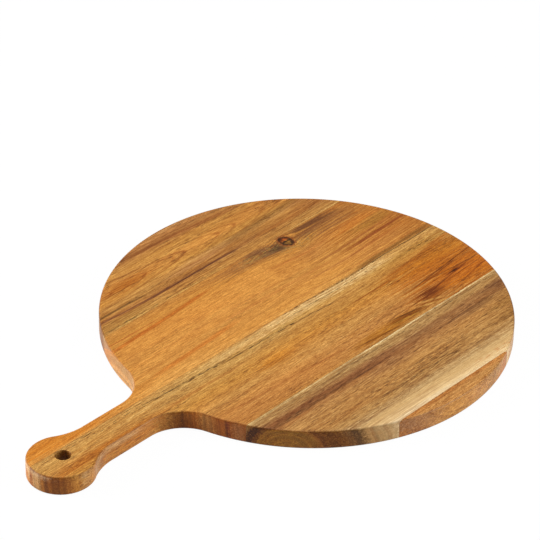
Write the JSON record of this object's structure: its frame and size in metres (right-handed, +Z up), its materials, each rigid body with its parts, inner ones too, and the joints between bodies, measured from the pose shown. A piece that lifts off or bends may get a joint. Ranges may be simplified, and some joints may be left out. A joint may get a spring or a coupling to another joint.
{
  "type": "tapas board",
  "caption": "Round wooden tapas board with a waisted handle and a hanging hole, glued up edge to edge from staves, for serving and cutting.",
  "frame": {"origin": "centre of the round, on the underside that the board lies on", "axes": "+Z up out of the serving face; the handle points along -Y, the way the grain runs; +X to the right with the handle towards you"},
  "size_m": [0.3, 0.42, 0.015],
  "materials": {
    "golden_brown_wood": "oiled acacia, flat sawn, golden brown",
    "light_orange_wood": "oiled acacia, smooth light orange with one knot",
    "orange_heartwood": "oiled acacia, orange heartwood with a pale sapwood edge",
    "brown_to_cream_wood": "oiled acacia, brown heartwood running into cream sapwood",
    "straight_orange_wood": "oiled acacia, straight orange-brown grain",
    "cured_glue": "cured wood glue, a hairline in the seam"
  },
  "bodies": {
    "root": {"left_rim_stave": "golden_brown_wood", "left_stave": "light_orange_wood", "handle_stave": "orange_heartwood", "right_stave": "brown_to_cream_wood", "right_rim_stave": "straight_orange_wood", "left_rim_glue_line": "cured_glue", "handle_glue_line": "cured_glue", "right_glue_line": "cured_glue", "right_rim_glue_line": "cured_glue"}
  },
  "joints": []
}
